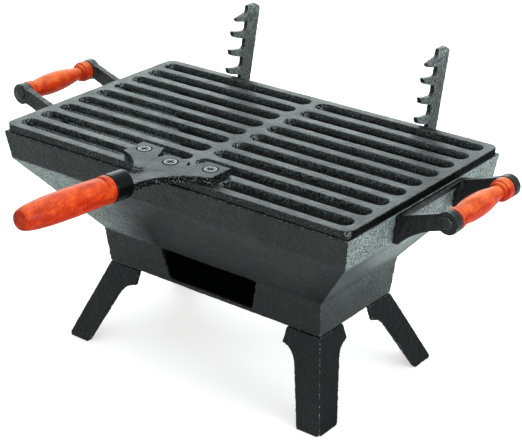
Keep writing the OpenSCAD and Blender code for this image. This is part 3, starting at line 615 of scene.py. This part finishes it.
def turned(name, node, body, profile, start, along, mat, uneven, seed, bore_end=None):
    """A grip turned about an axis. profile runs over its outside from bore edge to bore edge.

    uneven is how deep hand turning and wear dip into the wood, and seed moves those dips about.
    With bore_end the bore stops there and the far end is solid; without it the bore goes through.
    """
    along = along.normalized()
    side = along.orthogonal().normalized()
    across = along.cross(side)
    length = profile[-1][0]
    bm = bmesh.new()

    def ring(s, r, worn):
        """A ring of points at distance s along the axis, with radius r."""
        loop = []
        for k in range(RING_SEGMENTS):
            turn = 2 * math.pi * k / RING_SEGMENTS
            radial = math.cos(turn) * side + math.sin(turn) * across
            reach = r
            if worn:
                at = radial * DIPS_ROUND + along * s * DIPS_ALONG + Vector((seed, seed, seed))
                fade = max(0.0, min(1.0, min(s, length - s) / END_FADE))
                reach -= fade * uneven * (0.5 + 0.5 * noise.noise(at))
                reach -= fade * uneven * 1.2 * max(0.0, noise.noise(at * FINER) - 0.2)
            loop.append(bm.verts.new(start + along * s + radial * reach))
        return loop

    def strip(a, b):
        """Faces between two rings."""
        for k in range(RING_SEGMENTS):
            n = (k + 1) % RING_SEGMENTS
            bm.faces.new((a[k], a[n], b[n], b[k]))

    def cap(loop):
        """A flat end over a ring."""
        middle = bm.verts.new(sum((v.co for v in loop), Vector()) / RING_SEGMENTS)
        for k in range(RING_SEGMENTS):
            bm.faces.new((loop[k], loop[(k + 1) % RING_SEGMENTS], middle))

    bore = profile[0][1]
    clear_of_bore = bore + 0.0005
    loops = [ring(s, r, r > clear_of_bore) for s, r in profile]
    for a, b in zip(loops, loops[1:]):
        strip(a, b)
    if bore_end is None:
        strip(loops[-1], loops[0])
    else:
        deep = ring(bore_end, bore, False)
        strip(deep, loops[0])
        cap(deep)
        cap(loops[-1])
    bmesh.ops.recalc_face_normals(bm, faces=bm.faces)
    mesh = bpy.data.meshes.new(name)
    bm.to_mesh(mesh)
    bm.free()
    mesh.polygons.foreach_set("use_smooth", [True] * len(mesh.polygons))
    mesh.set_sharp_from_angle(angle=SHARP_EDGE)
    piece = bpy.data.objects.new(name, mesh)
    scene.collection.objects.link(piece)
    paint(piece, mat)
    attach(piece, body)
    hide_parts(node)


# the grips' outlines as (distance along, radius), in millimetres
SIDE_BORE, FRONT_BORE = 4.06, 3.6
SIDE_LENGTH, FRONT_LENGTH = 92.4, 108.5
FRONT_BORE_DEPTH = 75

side_profile = outline(
    ([(0, SIDE_BORE), (0, 10.2), (0.5, 11.0)], False),
    ([(1.4, 11.15), (3.8, 11.15), (5.0, 10.8), (5.8, 9.7), (6.4, 9.5), (7.2, 10.3), (8.4, 10.4), (9.4, 9.4),
      (10.4, 8.9), (13, 9.3), (20, 10.4), (30, 11.3), (40, 11.45), (50, 11.0), (60, 9.8), (68, 8.4),
      (74.5, 7.4), (77.6, 7.1), (78.4, 8.4), (79.2, 9.5), (80.2, 9.8), (81.4, 9.3), (82.0, 9.6),
      (82.8, 10.8), (84, 11.1), (88, 11.15), (90.6, 11.1)], True),
    ([(SIDE_LENGTH - 0.5, 10.7), (SIDE_LENGTH, 10.1), (SIDE_LENGTH, SIDE_BORE)], False))

front_profile = outline(
    ([(0, FRONT_BORE), (0, 12.5), (0.5, 13.3)], False),
    ([(1.4, 13.6), (4.6, 13.6), (6.6, 13.4), (7.6, 12.6), (8.3, 12.1), (9.2, 12.2), (10.2, 12.9),
      (13, 13.3), (22, 13.55), (36, 13.85), (52, 14.0), (68, 13.8), (82, 13.25), (94, 12.25), (102, 11.05),
      (106, 9.9), (107.7, 9.1)], True),
    ([(FRONT_LENGTH - 0.25, 8.6), (FRONT_LENGTH, 8.0), (FRONT_LENGTH, 1.0)], False))

turned("turned_front_grip", "front_grip", "top_grate", front_profile,
       start=HANDLE_START + FERRULE_LENGTH * HANDLE_DIR, along=HANDLE_DIR, mat=mat_wood_front,
       uneven=0.00022, seed=2.0, bore_end=FRONT_BORE_DEPTH * MM)
grip_axis = {row["child"]: Vector(row["pos_m"]) for row in frame["joints"] if row["type"] == "hinge"}
for side, seed in (("left", 5.0), ("right", 11.0)):
    hinge = grip_axis["grip_" + side]
    turned(f"turned_{side}_grip", side + "_grip", "grip_" + side, side_profile,
           start=Vector((hinge.x, centre_y - SIDE_LENGTH / 2 * MM, hinge.z)), along=Vector((0, 1, 0)),
           mat=mat_wood_side, uneven=0.0003, seed=seed)


# ---------------------------------------------------------------- each CAD node's finish
FINISH = {
    "firebox": mat_box,
    "charcoal_grate": mat_coal,
    "cooking_grate": mat_grate,
    "handle_plate": mat_plate,
    "handle_plate_screws": mat_screw,
    "handle_ferrule": mat_gloss,
    "front_grip": mat_wood_front,
    "left_grip": mat_wood_side,
    "right_grip": mat_wood_side,
    "left_rod": mat_rod,
    "right_rod": mat_rod,
    "left_bracket": mat_left_bracket_lit,
    "right_bracket": mat_bracket,
    "leg_front_left": mat_leg,
    "leg_front_right": mat_leg,
    "leg_back_left": mat_leg,
    "leg_back_right": mat_leg,
    "rack_left": mat_rack,
    "rack_right": mat_rack,
}
for name, obj in nodes.items():
    paint(obj, FINISH.get(name, mat_dark_steel))

# ---------------------------------------------------------------- studio
LIGHT_TINT = (0.88, 1.0, 0.98)
WORLD_LIT, WORLD_SEEN = 0.75, 1.05
LIGHT_AIM_HEIGHT = 0.15
FLOOR_REACH, FLOOR_Z, FLOOR_GLOW = 6.0, -0.0004, 0.55


def floor_paper():
    """White paper: matt to every light, and lifted with a little glow where the camera sees it."""
    s = Shader("floor_paper")
    s.set(Base_Color=s.mix(s.noise(3, 2), (0.80, 0.80, 0.80), (0.83, 0.83, 0.83)), Roughness=0.9)
    s.set(Specular_IOR_Level=0.0)
    seen = s.add("ShaderNodeLightPath").outputs["Is Camera Ray"]
    s.set(Emission_Color=(1.0, 0.93, 0.94), Emission_Strength=s.math("MULTIPLY", seen, FLOOR_GLOW))
    return s.mat


def pale_floor():
    """A wide square of paper just under the feet."""
    mesh = bpy.data.meshes.new("floor")
    bm = bmesh.new()
    corners = ((-1, -1), (1, -1), (1, 1), (-1, 1))
    bm.faces.new([bm.verts.new((x * FLOOR_REACH, y * FLOOR_REACH, FLOOR_Z)) for x, y in corners])
    bm.to_mesh(mesh)
    bm.free()
    floor = bpy.data.objects.new("floor", mesh)
    scene.collection.objects.link(floor)
    paint(floor, floor_paper())


def studio_world():
    """Soft light from all round, a little brighter and white where the camera sees it."""
    world = bpy.data.worlds.new("studio")
    scene.world = world
    world.use_nodes = True
    tree = world.node_tree
    tree.nodes.clear()
    out = tree.nodes.new("ShaderNodeOutputWorld")
    pick = tree.nodes.new("ShaderNodeMixShader")
    for socket, strength, tint in ((1, WORLD_LIT, LIGHT_TINT), (2, WORLD_SEEN, (1, 1, 1))):
        sky = tree.nodes.new("ShaderNodeBackground")
        sky.inputs["Color"].default_value = (*tint, 1)
        sky.inputs["Strength"].default_value = strength
        tree.links.new(sky.outputs[0], pick.inputs[socket])
    tree.links.new(tree.nodes.new("ShaderNodeLightPath").outputs["Is Camera Ray"], pick.inputs[0])
    tree.links.new(pick.outputs[0], out.inputs["Surface"])


def softbox(name, spot, size, power):
    """A rectangular lamp turned towards the fire box."""
    towards = Vector((0, centre_y, LIGHT_AIM_HEIGHT)) - Vector(spot)
    data = bpy.data.lights.new(name, "AREA")
    data.shape = "RECTANGLE"
    data.size, data.size_y = size
    data.energy = power
    data.color = LIGHT_TINT
    lamp = bpy.data.objects.new(name, data)
    lamp.location = spot
    lamp.rotation_mode = "QUATERNION"
    lamp.rotation_quaternion = towards.to_track_quat("-Z", "Y")
    scene.collection.objects.link(lamp)


pale_floor()
studio_world()
softbox("top_light", spot=(-0.2, centre_y + 0.3, 2.2), size=(2.0, 2.0), power=26)
softbox("back_light", spot=(-1.6, centre_y + 2.0, 1.1), size=(2.2, 1.6), power=30)
softbox("right_light", spot=(2.2, centre_y + 0.2, 0.9), size=(1.4, 1.4), power=28)

# ---------------------------------------------------------------- camera
AZIMUTH, ELEVATION, ROLL = math.radians(37.83), math.radians(24.68), math.radians(0.25)
DISTANCE, SIDE_SHIFT, AIM_HEIGHT = 1.556, 0.0136, 0.1462
FOCAL, SENSOR = 104.07, 36


def studio_camera():
    """The camera, looking at a point on the fire box's upright centre line, and shifted a little sideways."""
    back = Vector((math.sin(AZIMUTH) * math.cos(ELEVATION), -math.cos(AZIMUTH) * math.cos(ELEVATION),
                   math.sin(ELEVATION)))
    right = Vector((math.cos(AZIMUTH), math.sin(AZIMUTH), 0))
    cam_x = math.cos(ROLL) * right + math.sin(ROLL) * back.cross(right)
    data = bpy.data.cameras.new("camera")
    data.sensor_width = SENSOR
    data.lens = FOCAL
    data.clip_start = 0.05
    data.clip_end = 50
    camera = bpy.data.objects.new("camera", data)
    scene.collection.objects.link(camera)
    turn = Matrix((cam_x, back.cross(cam_x), back)).transposed().to_4x4()
    spot = Vector((0, centre_y, AIM_HEIGHT)) + DISTANCE * back + SIDE_SHIFT * right
    camera.matrix_world = Matrix.Translation(spot) @ turn
    scene.camera = camera


studio_camera()
scene.view_settings.view_transform = "Standard"
scene.view_settings.look = "None"
